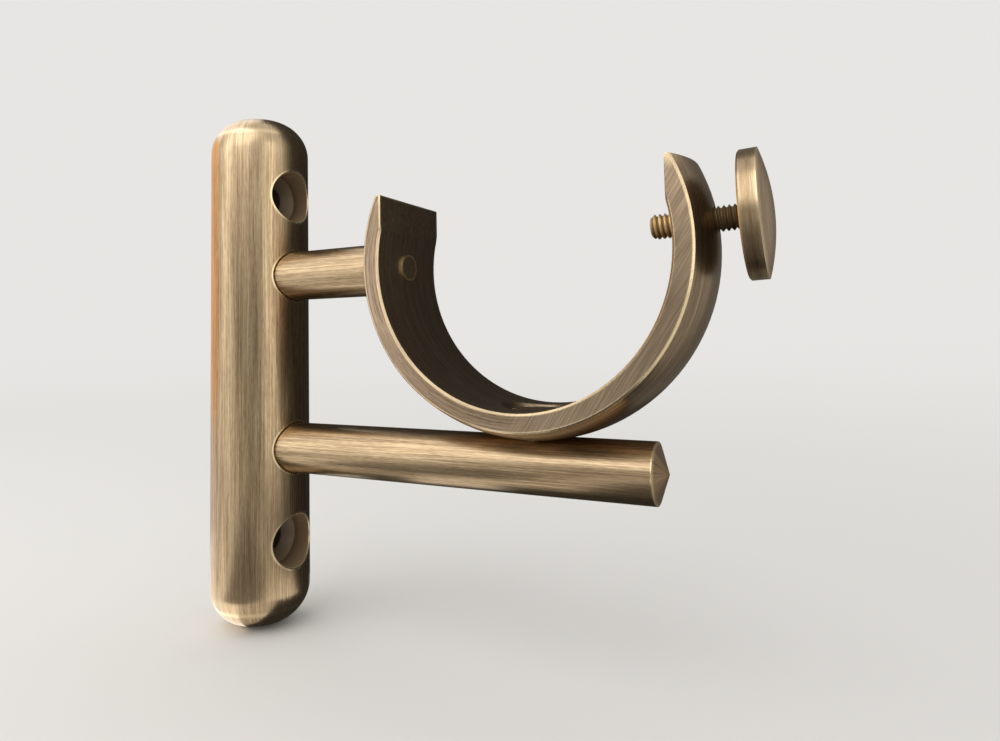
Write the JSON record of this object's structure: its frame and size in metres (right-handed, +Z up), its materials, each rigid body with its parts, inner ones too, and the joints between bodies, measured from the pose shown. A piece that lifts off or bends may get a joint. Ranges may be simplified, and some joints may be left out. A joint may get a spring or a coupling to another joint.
{
  "type": "curtain pole bracket",
  "caption": "Solid brass wall bracket with two round arms, an open cup for a curtain pole and a thumbscrew that grips the pole.",
  "frame": {"origin": "middle of the wall bar's flat back, on the wall", "axes": "+X out of the wall towards the thumbscrew, +Y along the curtain pole, +Z up"},
  "size_m": [0.1094, 0.02, 0.1054],
  "materials": {
    "antique_brass": "antique brass, brushed along each turned piece, edges worn bright",
    "bright_brass": "bright brass, cut thread",
    "screw_steel": "zinc plated"
  },
  "bodies": {
    "bracket": {"wall_bar": "antique_brass", "upper_arm": "antique_brass", "lower_arm": "antique_brass", "pole_cup": "antique_brass", "cup_screw": "antique_brass", "upper_arm_screw": "screw_steel", "lower_arm_screw": "screw_steel"},
    "stud": {"thumbscrew_stud": "bright_brass"},
    "head": {"thumbscrew_head": "antique_brass"}
  },
  "joints": [
    {"name": "thumb_travel", "type": "slide", "parent": "bracket", "child": "stud", "axis": [0.999, 0, 0.0436], "range_m": [-0.0034, 0.0048]},
    {"name": "thumb_turn", "type": "hinge", "parent": "stud", "child": "head", "pos_m": [0.09895, 0, 0.02255], "axis": [0.999, 0, 0.0436], "range_deg": [-1530, 2160]}
  ],
  "couplings": [
    {"joint": "thumb_travel", "follows": "thumb_turn", "m_per_rad": 0.00012732}
  ]
}
